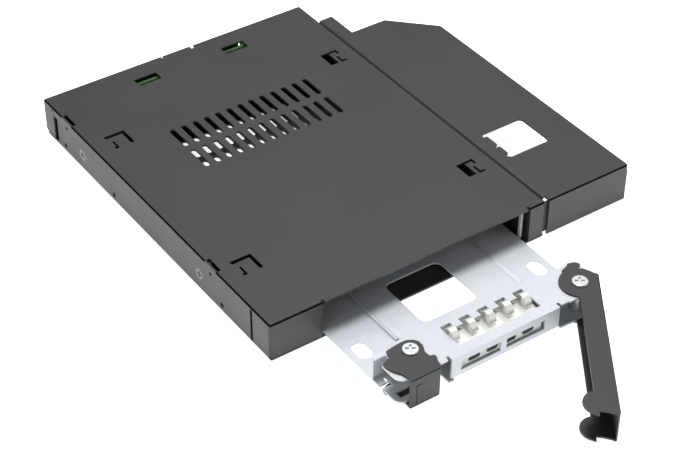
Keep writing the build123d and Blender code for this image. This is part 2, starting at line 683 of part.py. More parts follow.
with BuildPart() as emi_spring:
    with BuildSketch(tray_along(FINGER_FIRST)):
        with BuildLine():
            FilletPolyline(*FINGER_RUN, radius=0.35)
            offset(amount=SPRING_SHEET, side=Side.LEFT)
        make_face()
    extrude(amount=SPRING_WIDTH)
    with BuildSketch(tray_level(SPRING_BAND_Z + SPRING_SHEET + 0.05)):
        with Locations((FINGERS_MID, 10.0)):
            with GridLocations(FINGER_PITCH, 0, FINGER_COUNT - 1, 1):
                Rectangle(FINGER_PITCH - FINGER, 10.0)
    extrude(amount=5.0, mode=Mode.SUBTRACT)
    with BuildSketch(tray_across(SPRING_LEG_Y - 1)):
        with Locations((FINGERS_MID, 4.9)):
            with GridLocations(FINGER_PITCH, 0, FINGER_COUNT - 1, 1):
                RectangleRounded(*SPRING_WINDOW, 0.8)
        with Locations((FINGERS_MID, FLOOR_TOP)):
            Rectangle(SPRING_WIDTH - 2 * SPRING_FOOT, 1.2)
    extrude(amount=-2.0, mode=Mode.SUBTRACT)
emi_spring.part.label = "emi_spring"
export_step(emi_spring.part, "parts/emi_spring.step")


def shoulder_post(pivot):
    """Post between floor and plate, with a pin at each end for an arm to turn on."""
    with BuildPart() as post:
        with BuildSketch(post_level(pivot, FLOOR_TOP)):
            Circle(POST_R)
        extrude(amount=PLATE_Z - FLOOR_TOP)
        with BuildSketch(post_level(pivot, ARM_LOW)):
            Circle(PIN_R)
        extrude(amount=ARM_TOP + ARM_GAP - ARM_LOW)
        with BuildSketch(post_level(pivot, ARM_TOP + ARM_GAP)):
            Circle(SCREW_R)
        extrude(amount=-5.0, mode=Mode.SUBTRACT)
    return post


def cross_screw(pivot):
    """Screw in the top of a post, its head over the arm."""
    with BuildPart() as screw:
        with BuildSketch(post_level(pivot, ARM_TOP + ARM_GAP)):
            Circle(HEAD_R)
        extrude(amount=HEAD)
        fillet(screw.edges().group_by(Axis.Z)[-1], 0.3)
        with BuildSketch(post_level(pivot, ARM_TOP + ARM_GAP)):
            Circle(SCREW_R)
        extrude(amount=-4.5)
        with BuildSketch(post_level(pivot, ARM_TOP + ARM_GAP + HEAD)):
            Rectangle(2.6, 0.55)
            Rectangle(0.55, 2.6)
        extrude(amount=-0.35, mode=Mode.SUBTRACT)
    return screw


lever_post = shoulder_post(LEVER_PIVOT)
lever_post.part.label = "lever_post"
export_step(lever_post.part, "parts/lever_post.step")

latch_post = shoulder_post(LATCH_PIVOT)
latch_post.part.label = "latch_post"
export_step(latch_post.part, "parts/latch_post.step")

lever_screw = cross_screw(LEVER_PIVOT)
lever_screw.part.label = "lever_screw"
export_step(lever_screw.part, "parts/lever_screw.step")

latch_screw = cross_screw(LATCH_PIVOT)
latch_screw.part.label = "latch_screw"
export_step(latch_screw.part, "parts/latch_screw.step")

# Coil round the latch's post
COIL_R = 3.1
WIRE_R = 0.25

with BuildPart() as latch_spring:
    with BuildLine(post_level(LATCH_PIVOT, FLOOR_TOP + 0.6)) as coil:
        Helix(pitch=1.1, height=5.5, radius=COIL_R)
    with BuildSketch(Plane(origin=coil.line @ 0, z_dir=coil.line % 0)):
        Circle(WIRE_R)
    sweep(is_frenet=True)
latch_spring.part.label = "latch_spring"
export_step(latch_spring.part, "parts/latch_spring.step")

# Lever, a channel with its web at the front
with BuildPart() as lever:
    with BuildSketch(lever_level(ARM_LOW)) as lever_plan:
        panel(LEVER_END, LEVER_HEEL, LEVER_WEB, LEVER_INNER)
        fillet(lever_plan.vertices().sort_by(Axis.Y)[:2], 1.0)
        Circle(LEVER_DISC_R)
        with Locations(LEVER_LOBE):
            Circle(LEVER_LOBE_R)
        with BuildLine():
            Polyline(*LEVER_TAB, close=True)
        make_face()
        panel(-10, 10, LEVER_WEB - 2, LEVER_WEB, mode=Mode.SUBTRACT)
        with BuildLine():
            Polyline(*LEVER_BITE, close=True)
        make_face(mode=Mode.SUBTRACT)
        Circle(PIN_R + PIN_FIT, mode=Mode.SUBTRACT)
    extrude(amount=ARM_TOP - ARM_LOW)
    with BuildSketch(lever_level(ARM_LOW + SHEET)):
        panel(LEVER_END - 2, 12, LEVER_WEB + SHEET, 12)
        panel(LEVER_HEEL, 12, LEVER_WEB - 2, 12)
    extrude(amount=ARM_TOP - ARM_LOW - 2 * SHEET, mode=Mode.SUBTRACT)
lever.part.label = "lever"
export_step(lever.part, "parts/lever.step")

# Latch, a channel with its web at the front
with BuildPart() as latch:
    with BuildSketch(tray_level(ARM_LOW)):
        with BuildLine():
            FilletPolyline(*LATCH_OUTLINE, radius=0.3, close=True)
        make_face()
        with Locations(LATCH_PIVOT):
            Circle(PIN_R + PIN_FIT, mode=Mode.SUBTRACT)
    extrude(amount=ARM_TOP - ARM_LOW)
    with BuildSketch(tray_level(ARM_LOW + SHEET)):
        panel(15, 35, SHEET, 16)
    extrude(amount=ARM_TOP - ARM_LOW - 2 * SHEET, mode=Mode.SUBTRACT)
    with BuildSketch(tray_across(0)):
        panel(LATCH_GROOVE_LEFT, LATCH_GROOVE_LEFT + LATCH_GROOVE, 1.6, LATCH_GROOVE_TOP)
        panel(
            LATCH_GROOVE_LEFT,
            LATCH_GROOVE_LEFT + 2.0,
            LATCH_GROOVE_TOP - LATCH_GROOVE,
            LATCH_GROOVE_TOP,
        )
    extrude(amount=-SHEET / 3, mode=Mode.SUBTRACT)
latch.part.label = "latch"
export_step(latch.part, "parts/latch.step")
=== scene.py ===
"""Hard drive mobile rack, dressed for its picture.

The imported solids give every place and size. Each sub-assembly is a class that takes its
sheets from those solids, rounds their cut edges, adds the small pieces that repeat and gives
each surface the finish of the real one.
"""

from __future__ import annotations

import logging
import math
from dataclasses import dataclass, replace
from enum import Enum
from typing import Any, Callable

import bmesh
import bpy
from mathutils import Matrix, Vector


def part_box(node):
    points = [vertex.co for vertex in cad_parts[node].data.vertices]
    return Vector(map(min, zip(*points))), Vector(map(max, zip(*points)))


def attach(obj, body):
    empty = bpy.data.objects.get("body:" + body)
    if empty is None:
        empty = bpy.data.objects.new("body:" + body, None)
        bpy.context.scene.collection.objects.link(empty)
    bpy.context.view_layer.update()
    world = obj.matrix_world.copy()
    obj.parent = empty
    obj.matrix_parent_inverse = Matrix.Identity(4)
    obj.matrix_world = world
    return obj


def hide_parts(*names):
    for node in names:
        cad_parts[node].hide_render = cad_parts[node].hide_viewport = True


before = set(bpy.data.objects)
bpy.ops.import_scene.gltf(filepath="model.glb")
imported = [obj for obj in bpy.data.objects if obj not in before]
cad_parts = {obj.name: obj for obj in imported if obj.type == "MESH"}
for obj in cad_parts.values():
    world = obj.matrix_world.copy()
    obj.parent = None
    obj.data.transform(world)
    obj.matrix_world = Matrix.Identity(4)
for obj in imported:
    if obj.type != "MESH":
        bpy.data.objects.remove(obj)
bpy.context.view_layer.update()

LOG = logging.getLogger("rack")

MM = 0.001
IMAGE_WIDTH = 675
SENSOR_MM = 36.0

# Middle of the chassis, seen from its front left corner, and how far the tray stands out.
MIDDLE_X = 64.0
MIDDLE_Y = 64.5
TRAY_OUT = 37.0

# Points nearer than this in metres are one point, and a fold's end may be this far off in mm.
WELD = 1e-6
SLACK_MM = 0.01

# Angles in degrees: faces that count as one, edges that stay sharp, edges that get rounded.
FLAT_ANGLE = 0.5
SHEET_ANGLE = 28
GROWN_ANGLE = 35
ROUNDED_ANGLE = 40

# A fold turns by more than this, in radians. It is rounded in so many steps.
FOLD_TURN = 0.7
FOLD_STEPS = 4


class Body(Enum):
    """Rigid bodies of the rack that a piece can ride on."""

    CHASSIS = "chassis"
    TRAY = "tray"
    LEVER = "lever_arm"
    LATCH = "latch_arm"


def linear(code: str) -> tuple[float, float, float, float]:
    """Turns an sRGB hex colour into linear light.

    Args:
        code: Six hex digits, with or without a leading mark.

    Returns:
        Red, green, blue and a full alpha.
    """
    digits = code.lstrip("#")
    parts = [int(digits[at : at + 2], 16) / 255 for at in (0, 2, 4)]
    light = [c / 12.92 if c <= 0.04045 else ((c + 0.055) / 1.055) ** 2.4 for c in parts]
    return (light[0], light[1], light[2], 1.0)


def add_node(
    tree: bpy.types.NodeTree,
    kind: str,
    values: dict[Any, Any] | None = None,
    links: dict[Any, bpy.types.NodeSocket] | None = None,
    **settings: Any,
) -> bpy.types.Node:
    """Adds one node with its settings, socket values and links.

    Args:
        tree: Tree that takes the node.
        kind: The node's type name.
        values: Socket name or number to its fixed value.
        links: Socket name or number to the output that feeds it.
        settings: The node's own properties.

    Returns:
        The new node.
    """
    node = tree.nodes.new(kind)
    for name, value in settings.items():
        setattr(node, name, value)
    for key, value in (values or {}).items():
        node.inputs[key].default_value = value
    for key, socket in (links or {}).items():
        tree.links.new(socket, node.inputs[key])
    return node


@dataclass(frozen=True)
class Finish:
    """A surface whose colour, gloss and relief vary with a fine random grain."""

    name: str
    colour: str
    shade: str
    roughness: float
    metallic: float = 0.0
    ior: float = 1.5
    coat: float = 0.0
    grain_mm: float = 0.5
    cloud_mm: float = 18.0
    relief_mm: float = 0.01
    gloss_spread: float = 0.06
    stretch: tuple[float, float, float] = (1.0, 1.0, 1.0)

    def material(self) -> bpy.types.Material:
        """Builds the finish's material, or finds the one already built."""
        known = bpy.data.materials.get(self.name)
        if known:
            return known
        made = bpy.data.materials.new(self.name)
        made.use_nodes = True
        tree = made.node_tree
        tree.nodes.clear()
        out = add_node(tree, "ShaderNodeOutputMaterial")
        shader = add_node(
            tree,
            "ShaderNodeBsdfPrincipled",
            {"Metallic": self.metallic, "Coat Weight": self.coat},
        )
        if self.metallic < 0.5:
            shader.inputs["IOR"].default_value = self.ior
        tree.links.new(shader.outputs["BSDF"], out.inputs["Surface"])
        self.pattern(tree, shader)
        return made

    def pattern(self, tree: bpy.types.NodeTree, shader: bpy.types.Node) -> None:
        """Feeds colour, roughness and relief to the shader.

        Args:
            tree: The material's tree.
            shader: Its surface shader.
        """
        place = add_node(tree, "ShaderNodeTexCoord")
        sized = add_node(
            tree,
            "ShaderNodeMapping",
            {"Scale": self.stretch},
            {"Vector": place.outputs["Object"]},
        )
        grain = add_node(
            tree,
            "ShaderNodeTexNoise",
            {"Scale": 1 / (self.grain_mm * MM), "Detail": 3.0, "Roughness": 0.6},
            {"Vector": sized.outputs["Vector"]},
        )
        cloud = add_node(
            tree,
            "ShaderNodeTexNoise",
            {"Scale": 1 / (self.cloud_mm * MM), "Detail": 4.0},
            {"Vector": sized.outputs["Vector"]},
        )
        both = add_node(
            tree,
            "ShaderNodeMath",
            {1: 0.5},
            {0: grain.outputs["Fac"], 2: cloud.outputs["Fac"]},
            operation="MULTIPLY_ADD",
        )
        ramp = add_node(tree, "ShaderNodeValToRGB", links={"Fac": both.outputs[0]})
        ramp.color_ramp.elements[0].position = 0.45
        ramp.color_ramp.elements[0].color = linear(self.shade)
        ramp.color_ramp.elements[1].position = 1.05
        ramp.color_ramp.elements[1].color = linear(self.colour)
        tree.links.new(ramp.outputs["Color"], shader.inputs["Base Color"])
        gloss = add_node(
            tree,
            "ShaderNodeMapRange",
            {
                "From Min": 0.3,
                "From Max": 0.7,
                "To Min": self.roughness - self.gloss_spread,
                "To Max": self.roughness + self.gloss_spread,
            },
            {"Value": cloud.outputs["Fac"]},
        )
        tree.links.new(gloss.outputs["Result"], shader.inputs["Roughness"])
        bump = add_node(
            tree,
            "ShaderNodeBump",
            {"Strength": 1.0, "Distance": self.relief_mm * MM},
            {"Height": grain.outputs["Fac"]},
        )
        tree.links.new(bump.outputs["Normal"], shader.inputs["Normal"])


# Cold-rolled steel under a thin baked grey coat: dark and satin, with a fine sprayed texture.
GREY_COAT = Finish(
    name="baked_grey_coat",
    colour="323232",
    shade="2b2b2b",
    roughness=0.46,
    ior=1.45,
    grain_mm=0.45,
    relief_mm=0.008,
)

# The same coat on a fold, made darker and duller than it is: painted shade, so that a fold that
# is barely wider than a pixel still reads as a thin dark line.
PAINTED_FOLD_SHADE = replace(
    GREY_COAT, name="grey_coat_with_painted_fold_shade", colour="0c0c0c", shade="090909", roughness=0.8, ior=1.12
)

# Zinc-plated steel sheet: pale, cool and satin, rolled in one direction.
PLATED_SHEET = Finish(
    name="zinc_plated_sheet",
    colour="c6cacf",
    shade="babec4",
    roughness=0.5,
    metallic=0.3,
    grain_mm=0.5,
    cloud_mm=25.0,
    relief_mm=0.003,
    stretch=(1.0, 0.12, 1.0),
)

# Hard-rolled stainless spring strip: a little warmer, paler and shinier than the sheet.
SPRING_STRIP = Finish(
    name="stainless_spring_strip",
    colour="e6e6e2",
    shade="d0d0cb",
    roughness=0.4,
    metallic=0.5,
    grain_mm=0.3,
    relief_mm=0.002,
)

# Bright zinc on turned steel: small sharp highlights.
BRIGHT_ZINC = Finish(
    name="bright_zinc_fastener",
    colour="c9cccf",
    shade="b9bdc1",
    roughness=0.32,
    metallic=0.8,
    grain_mm=0.6,
    relief_mm=0.001,
)

# Zinc on small screws that has gone dull: mid grey, with a soft shine.
DULL_ZINC = Finish(
    name="dull_zinc_screw",
    colour="6e6e6f",
    shade="5f5f60",
    roughness=0.38,
    metallic=0.5,
    grain_mm=0.3,
    relief_mm=0.002,
)

# Fired ceramic of small chip parts, sandy and dull.
CHIP_CERAMIC = Finish(
    name="chip_ceramic",
    colour="cbbd9c",
    shade="b3a482",
    roughness=0.5,
    grain_mm=0.2,
    relief_mm=0.003,
)

# Black glass-filled nylon, moulded with a fine spark-eroded texture: dull and nearly black.
BLACK_NYLON = Finish(
    name="moulded_black_nylon",
    colour="1c1d1e",
    shade="141516",
    roughness=0.55,
    grain_mm=0.3,
    relief_mm=0.01,
)

# Glass-fibre board under green solder resist: satin green with a faint weave.
GREEN_BOARD = Finish(
    name="green_resist_board",
    colour="3f5a33",
    shade="2f4527",
    roughness=0.35,
    coat=0.3,
    grain_mm=0.35,
    relief_mm=0.004,
)

# The same laminate, made darker, on the small board behind the light guide.
SHADED_BOARD = replace(GREEN_BOARD, name="dark_green_board", colour="22291a", shade="1a2014")

# Milky acrylic, moulded: pale, smooth and a little glossy.
MILKY_ACRYLIC = Finish(
    name="milky_acrylic",
    colour="dcdcd4",
    shade="cfcfc6",
    roughness=0.3,
    ior=1.49,
    grain_mm=1.5,
    relief_mm=0.003,
)

# Gold flash over nickel on stamped contacts: warm and bright.
GOLD_FLASH = Finish(
    name="gold_flashed_contact",
    colour="e0bf73",
    shade="c7a457",
    roughness=0.25,
    metallic=1.0,
    grain_mm=0.2,
    relief_mm=0.001,
)


Point = tuple[float, float, float]


def chassis_point(x: float, y: float, z: float) -> Point:
    """Turns millimetres from the chassis's front left corner into metres of the frame."""
    return ((x - MIDDLE_X) * MM, (y - MIDDLE_Y) * MM, z * MM)


def tray_point(x: float, y: float, z: float) -> Point:
    """Turns millimetres of the shut tray into metres of the frame, the tray pulled out."""
    return chassis_point(x, y - TRAY_OUT, z)


# Left, right, front, rear, bottom and top in millimetres.
Box = tuple[float, float, float, float, float, float]


def add_box(shape: bmesh.types.BMesh, box: Box, out_mm: float = 0.0) -> None:
    """Adds a box to a mesh, between two corners of the chassis in millimetres.

    Args:
        shape: Mesh that takes the box.
        box: Left, right, front, rear, bottom and top.
        out_mm: How far the tray that carries it stands out.
    """
    low = Vector(chassis_point(box[0], box[2] - out_mm, box[4]))
    high = Vector(chassis_point(box[1], box[3] - out_mm, box[5]))
    place = Matrix.LocRotScale((low + high) / 2, None, high - low)
    bmesh.ops.create_cube(shape, size=1.0, matrix=place)


def inside(point: Vector, box: Box, out_mm: float = 0.0) -> bool:
    """Tells whether a point lies in a box of the chassis, within a hundredth of a millimetre."""
    low = chassis_point(box[0] - SLACK_MM, box[2] - out_mm - SLACK_MM, box[4] - SLACK_MM)
    high = chassis_point(box[1] + SLACK_MM, box[3] - out_mm + SLACK_MM, box[5] + SLACK_MM)
    return all(a <= c <= b for a, c, b in zip(low, point, high))


def cut_away(mesh: bpy.types.Mesh, boxes: list[Box], out_mm: float = 0.0) -> bpy.types.Mesh:
    """Cuts boxes out of a closed mesh.

    Args:
        mesh: Mesh to cut.
        boxes: Boxes to take out.
        out_mm: How far the tray that carries them stands out.

    Returns:
        The cut mesh.
    """
    tool = bmesh.new()
    for box in boxes:
        add_box(tool, box, out_mm)
    tool_mesh = bpy.data.meshes.new("cutter")
    tool.to_mesh(tool_mesh)
    tool.free()
    cutter = bpy.data.objects.new("cutter", tool_mesh)
    blank = bpy.data.objects.new("blank", mesh)
    for item in (cutter, blank):
        bpy.context.scene.collection.objects.link(item)
    cut = blank.modifiers.new("cut", "BOOLEAN")
    cut.operation = "DIFFERENCE"
    cut.solver = "EXACT"
    cut.use_self = True
    cut.object = cutter
    state = bpy.context.evaluated_depsgraph_get()
    done = bpy.data.meshes.new_from_object(blank.evaluated_get(state), depsgraph=state)
    for item in (cutter, blank):
        bpy.data.objects.remove(item)
    done.materials.clear()
    return done


def round_folds(
    shape: bmesh.types.BMesh, edges: list[bmesh.types.BMEdge], radius_mm: float
) -> None:
    """Rounds the edges of folds and marks the new faces for the darker coat of painted fold shade.

    Args:
        shape: Mesh that holds the edges.
        edges: Edges to round.
        radius_mm: Radius of the fold.
    """
    done = bmesh.ops.bevel(
        shape,
        geom=edges,
        offset=radius_mm * MM,
        segments=FOLD_STEPS,
        profile=0.5,
        affect="EDGES",
    )
    # Material slot 1 is the painted shade of folds, a darker and duller coat.
    for face in done["faces"]:
        face.material_index = 1
    LOG.info("%d edges of folds rounded", len(edges))


def folds_in(shape: bmesh.types.BMesh, boxes: list[Box]) -> list[bmesh.types.BMEdge]:
    """Finds the outer edges of folds, whose both ends lie in one of the boxes.

    Args:
        shape: Mesh to look through.
        boxes: Boxes in millimetres of the chassis.

    Returns:
        The edges.
    """
    return [
        edge
        for edge in shape.edges
        if len(edge.link_faces) == 2
        and edge.calc_face_angle_signed(0.0) > FOLD_TURN
        and any(all(inside(vert.co, box) for vert in edge.verts) for box in boxes)
    ]


def dress(piece: bpy.types.Object, finish: Finish) -> None:
    """Gives every material slot of a piece one finish.

    Args:
        piece: Object to dress.
        finish: Its surface.
    """
    material = finish.material()
    if not piece.material_slots:
        piece.data.materials.append(material)
    for slot in piece.material_slots:
        slot.material = material


def round_edges(piece: bpy.types.Object, edge_mm: float) -> None:
    """Rounds the sharp edges of a piece.

    Args:
        piece: Object whose edges are rounded.
        edge_mm: Their radius.
    """
    bevel = piece.modifiers.new("rounded_edges", "BEVEL")
    bevel.width = edge_mm * MM
    bevel.segments = 2
    bevel.limit_method = "ANGLE"
    bevel.angle_limit = math.radians(ROUNDED_ANGLE)
    bevel.harden_normals = True


def keep_flats_flat(piece: bpy.types.Object) -> None:
    """Weighs the shading by face size, so that a small rounding leaves a large face flat."""
    weigh = piece.modifiers.new("flat_faces", "WEIGHTED_NORMAL")
    weigh.keep_sharp = True
    weigh.weight = 90


def sheet_from(
    node: str,
    body: Body,
    finish: Finish,
    edge_mm: float = 0.1,
    change: Callable[[bmesh.types.BMesh], None] | None = None,
    cuts: list[Box] | None = None,
    cuts_out_mm: float = 0.0,
) -> bpy.types.Object:
    """Copies a solid, merges its faces and rounds its cut edges.

    Args:
        node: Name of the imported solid.
        body: Body that carries it.
        finish: Its surface.
        edge_mm: Radius of the rounded edges.
        change: What is done to the merged copy before it is rounded.
        cuts: Boxes cut out of the copy, in millimetres of the chassis.
        cuts_out_mm: How far the tray that carries those boxes stands out.

    Returns:
        The finished piece, which stands for the solid.
    """
    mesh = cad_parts[node].data.copy()
    mesh.materials.clear()
    shape = bmesh.new()
    shape.from_mesh(mesh)
    bmesh.ops.remove_doubles(shape, verts=shape.verts, dist=WELD)
    bmesh.ops.dissolve_limit(
        shape, angle_limit=math.radians(FLAT_ANGLE), verts=shape.verts, edges=shape.edges
    )
    shape.to_mesh(mesh)
    if cuts:
        mesh = cut_away(mesh, cuts, cuts_out_mm)
        shape.clear()
        shape.from_mesh(mesh)
    if change:
        change(shape)
        shape.to_mesh(mesh)
    shape.free()
    piece = bpy.data.objects.new(f"{node}_shape", mesh)
    bpy.context.scene.collection.objects.link(piece)
    mesh.polygons.foreach_set("use_smooth", [True] * len(mesh.polygons))
    mesh.set_sharp_from_angle(angle=math.radians(SHEET_ANGLE))
    if edge_mm > 0:
        round_edges(piece, edge_mm)
    keep_flats_flat(piece)
    dress(piece, finish)
    # Faces marked as folds get the second slot, the coat with painted fold shade.
    if any(face.material_index == 1 for face in piece.data.polygons):
        piece.data.materials.append(PAINTED_FOLD_SHADE.material())
    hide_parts(node)
    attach(piece, body.value)
    LOG.info("%s stands for %s", piece.name, node)
    return piece


class NodeShop:
    """One Geometry Nodes tree under construction, with named inputs for its sizes."""

    def __init__(self, name: str) -> None:
        """Starts an empty tree.

        Args:
            name: Name of the tree and of the piece that it grows.
        """
        self.name = name
        self.tree = bpy.data.node_groups.new(name, "GeometryNodeTree")
        self.tree.interface.new_socket(
            "Geometry", in_out="OUTPUT", socket_type="NodeSocketGeometry"
        )
        self.inlet = self.tree.nodes.new("NodeGroupInput")
        self.values: dict[str, Any] = {}

    def given(self, name: str, value: Any, kind: str = "Float") -> bpy.types.NodeSocket:
        """Adds a named input.

        Args:
            name: The input's name.
            value: Its value, in metres where it is a length.
            kind: Float, Int, Vector or Material.

        Returns:
            The socket that carries the value inside the tree.
        """
        self.tree.interface.new_socket(name, in_out="INPUT", socket_type=f"NodeSocket{kind}")
        self.values[name] = value
        return self.inlet.outputs[name]

    def node(
        self,
        kind: str,
        values: dict[Any, Any] | None = None,
        links: dict[Any, bpy.types.NodeSocket] | None = None,
        **settings: Any,
    ) -> bpy.types.Node:
        """Adds one node to the tree, as add_node does."""
        return add_node(self.tree, kind, values, links, **settings)

    def swept(
        self, path: bpy.types.NodeSocket, section: bpy.types.NodeSocket
    ) -> bpy.types.NodeSocket:
        """Sweeps a closed section along a path and caps both ends.

        Args:
            path: Curve to follow.
            section: Closed curve to sweep.

        Returns:
            The solid.
        """
        solid = self.node(
            "GeometryNodeCurveToMesh",
            {"Fill Caps": True},
            {"Curve": path, "Profile Curve": section},
        )
        return solid.outputs[0]

    def ring(self, name: str, radius_mm: float, steps: int) -> bpy.types.NodeSocket:
        """Draws a circle whose radius is a named input.

        Args:
            name: The input's name.
            radius_mm: Its radius in millimetres.
            steps: How many sides it has.

        Returns:
            The circle.
        """
        circle = self.node(
            "GeometryNodeCurvePrimitiveCircle",
            {"Resolution": steps},
            {"Radius": self.given(name, radius_mm * MM)},
        )
        return circle.outputs[0]

    def row(
        self,
        shape: bpy.types.NodeSocket,
        count: bpy.types.NodeSocket,
        start: bpy.types.NodeSocket,
        step: bpy.types.NodeSocket,
    ) -> bpy.types.NodeSocket:
        """Repeats a shape along a straight row.

        Args:
            shape: Geometry to repeat.
            count: How many.
            start: Place of the first.
            step: Way from one to the next.

        Returns:
            The row of instances.
        """
        line = self.node(
            "GeometryNodeMeshLine", links={"Count": count, "Start Location": start, "Offset": step}
        )
        placed = self.node(
            "GeometryNodeInstanceOnPoints",
            links={"Points": line.outputs[0], "Instance": shape},
        )
        return placed.outputs[0]

    def grow(
        self, shape: bpy.types.NodeSocket, body: Body, finish: Finish, edge_mm: float = 0.0
    ) -> bpy.types.Object:
        """Ends the tree, runs it once and keeps its result as a plain mesh.

        Args:
            shape: Geometry that the tree gives out.
            body: Body that carries the piece.
            finish: Its surface.
            edge_mm: Radius of its rounded edges.

        Returns:
            The finished piece.
        """
        surface = self.given("Finish", finish.material(), "Material")
        real = self.node("GeometryNodeRealizeInstances", links={0: shape})
        painted = self.node(
            "GeometryNodeSetMaterial", links={"Geometry": real.outputs[0], "Material": surface}
        )
        outlet = self.tree.nodes.new("NodeGroupOutput")
        self.tree.links.new(painted.outputs[0], outlet.inputs[0])
        piece = bpy.data.objects.new(self.name, bpy.data.meshes.new(f"{self.name}_seed"))
        bpy.context.scene.collection.objects.link(piece)
        rule = piece.modifiers.new("rule", "NODES")
        rule.node_group = self.tree
        for socket in self.tree.interface.items_tree:
            if socket.item_type == "SOCKET" and socket.in_out == "INPUT":
                rule[socket.identifier] = self.values[socket.name]
        state = bpy.context.evaluated_depsgraph_get()
        mesh = bpy.data.meshes.new_from_object(
            piece.evaluated_get(state), preserve_all_data_layers=True, depsgraph=state
        )
        piece.modifiers.clear()
        piece.data = mesh
        shape_up = bmesh.new()
        shape_up.from_mesh(mesh)
        bmesh.ops.remove_doubles(shape_up, verts=shape_up.verts, dist=WELD)
        bmesh.ops.recalc_face_normals(shape_up, faces=shape_up.faces)
        shape_up.to_mesh(mesh)
        shape_up.free()
        mesh.polygons.foreach_set("use_smooth", [True] * len(mesh.polygons))
        mesh.set_sharp_from_angle(angle=math.radians(GROWN_ANGLE))
        if edge_mm > 0:
            round_edges(piece, edge_mm)
        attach(piece, body.value)
        LOG.info("%s grown with %d faces", piece.name, len(mesh.polygons))
        return piece


@dataclass
class BentRow:
    """A row of alike strips, each bent along one smooth curve in a plane across the rack."""

    name: str
    count: int
    pitch: float
    width: float
    thickness: float
    run: tuple[Point, Point, Point, Point]
    steps: int = 22

    def grow(self, body: Body, finish: Finish) -> bpy.types.Object:
        """Grows the row with Geometry Nodes.

        Args:
            body: Body that carries it.
            finish: Its surface.

        Returns:
            The finished row.
        """
        shop = NodeShop(self.name)
        path = shop.node(
            "GeometryNodeCurvePrimitiveBezierSegment",
            {"Resolution": self.steps},
            {
                "Start": shop.given("Root", self.run[0], "Vector"),
                "Start Handle": shop.given("First bend", self.run[1], "Vector"),
                "End Handle": shop.given("Second bend", self.run[2], "Vector"),
                "End": shop.given("Tip", self.run[3], "Vector"),
            },
            mode="POSITION",
        )
        section = shop.node(
            "GeometryNodeCurvePrimitiveQuadrilateral",
            links={
                "Width": shop.given("Width", self.width * MM),
                "Height": shop.given("Thickness", self.thickness * MM),
            },
        )
        row = shop.row(
            shop.swept(path.outputs[0], section.outputs[0]),
            shop.given("Count", self.count, "Int"),
            shop.given("Start", (0.0, 0.0, 0.0), "Vector"),
            shop.given("Pitch", (self.pitch * MM, 0.0, 0.0), "Vector"),
        )
        return shop.grow(row, body, finish)


@dataclass(frozen=True)
class PressedRib:
    """A straight rib pressed up in a sheet, with a rounded back."""

    name: str
    start: Point
    end: Point
    width: float
    height: float

    def grow(self, body: Body, finish: Finish) -> bpy.types.Object:
        """Grows the rib with Geometry Nodes.

        Args:
            body: Body that carries it.
            finish: Its surface.

        Returns:
            The finished rib.
        """
        shop = NodeShop(self.name)
        line = shop.node(
            "GeometryNodeCurvePrimitiveLine",
            links={
                "Start": shop.given("Start", self.start, "Vector"),
                "End": shop.given("End", self.end, "Vector"),
            },
        )
        bar = shop.swept(line.outputs[0], shop.ring("Half width", self.width / 2, 16))
        flatness = self.height / (self.width / 2)
        base = self.start[2]
        placed = shop.node(
            "GeometryNodeTransform",
            links={
                "Geometry": bar,
                "Translation": shop.given("Lift", (0.0, 0.0, base * (1 - flatness)), "Vector"),
                "Scale": shop.given("Flatness", (1.0, 1.0, flatness), "Vector"),
            },
        )
        return shop.grow(placed.outputs[0], body, finish)


@dataclass(frozen=True)
class ChipRow:
    """A row of small block parts on a board, with rounded edges."""

    name: str
    count: int
    pitch: float
    size: Point
    first: Point
    edge: float = 0.08

    def grow(self, body: Body, finish: Finish) -> bpy.types.Object:
        """Grows the row with Geometry Nodes.

        Args:
            body: Body that carries it.
            finish: Its surface.

        Returns:
            The finished row.
        """
        shop = NodeShop(self.name)
        block = shop.node(
            "GeometryNodeMeshCube",
            links={"Size": shop.given("Size", tuple(part * MM for part in self.size), "Vector")},
        )
        row = shop.row(
            block.outputs[0],
            shop.given("Count", self.count, "Int"),
            shop.given("First", self.first, "Vector"),
            shop.given("Pitch", (self.pitch * MM, 0.0, 0.0), "Vector"),
        )
        return shop.grow(row, body, finish, self.edge)


@dataclass
class Coil:
    """A round wire wound into a helix about an upright axis."""

    name: str
    turns: float
    radius: float
    wire: float
    height: float
    foot: Point
    node: str

    def grow(self, body: Body, finish: Finish) -> bpy.types.Object:
        """Grows the coil with Geometry Nodes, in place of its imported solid.

        Args:
            body: Body that carries it.
            finish: Its surface.

        Returns:
            The finished coil.
        """
        shop = NodeShop(self.name)
        radius = shop.given("Radius", self.radius * MM)
        helix = shop.node(
            "GeometryNodeCurveSpiral",
            {"Resolution": 40},
            {
                "Rotations": shop.given("Turns", self.turns),
                "Start Radius": radius,
                "End Radius": radius,
                "Height": shop.given("Height", self.height * MM),
            },
        )
        wound = shop.swept(helix.outputs[0], shop.ring("Wire", self.wire, 10))
        placed = shop.node(
            "GeometryNodeTransform",
            links={
                "Geometry": wound,
                "Translation": shop.given("Foot", self.foot, "Vector"),
            },
        )
        piece = shop.grow(placed.outputs[0], body, finish)
        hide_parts(self.node)
        return piece


